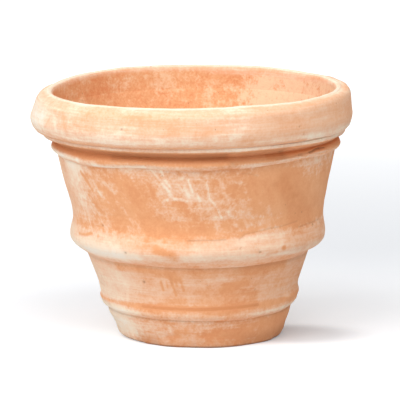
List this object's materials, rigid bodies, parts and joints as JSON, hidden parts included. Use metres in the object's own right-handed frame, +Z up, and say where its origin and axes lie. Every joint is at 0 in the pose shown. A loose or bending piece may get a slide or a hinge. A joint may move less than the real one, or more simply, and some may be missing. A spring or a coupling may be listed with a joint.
{
  "type": "rolled rim plant pot",
  "caption": "Round tapered terracotta planter with a heavy rolled rim, a collar bead, applied bands, an open planting space and a drain hole in its floor.",
  "frame": {"origin": "centre of the foot, on the ground the pot stands on", "axes": "+Z up along the pot's axis; +X to the right in the pictured view, which looks along +Y"},
  "size_m": [0.4002, 0.4002, 0.3101],
  "materials": {
    "bare_clay": "bare fired clay, sandy and matt",
    "wall_clay": "wiped fired clay, matt, with pale streaks",
    "band_clay": "fired clay with a pale bloom, matt",
    "rim_clay": "fired clay with a pale bloom, rubbed smooth, matt"
  },
  "bodies": {
    "root": {"base_disc": "bare_clay", "floor_coil": "bare_clay", "foot_wall": "wall_clay", "lower_band": "band_clay", "middle_wall": "wall_clay", "belly_band": "band_clay", "upper_wall": "wall_clay", "collar_bead": "band_clay", "neck_wall": "wall_clay", "rim_bead": "band_clay", "rim_roll": "rim_clay"}
  },
  "joints": []
}
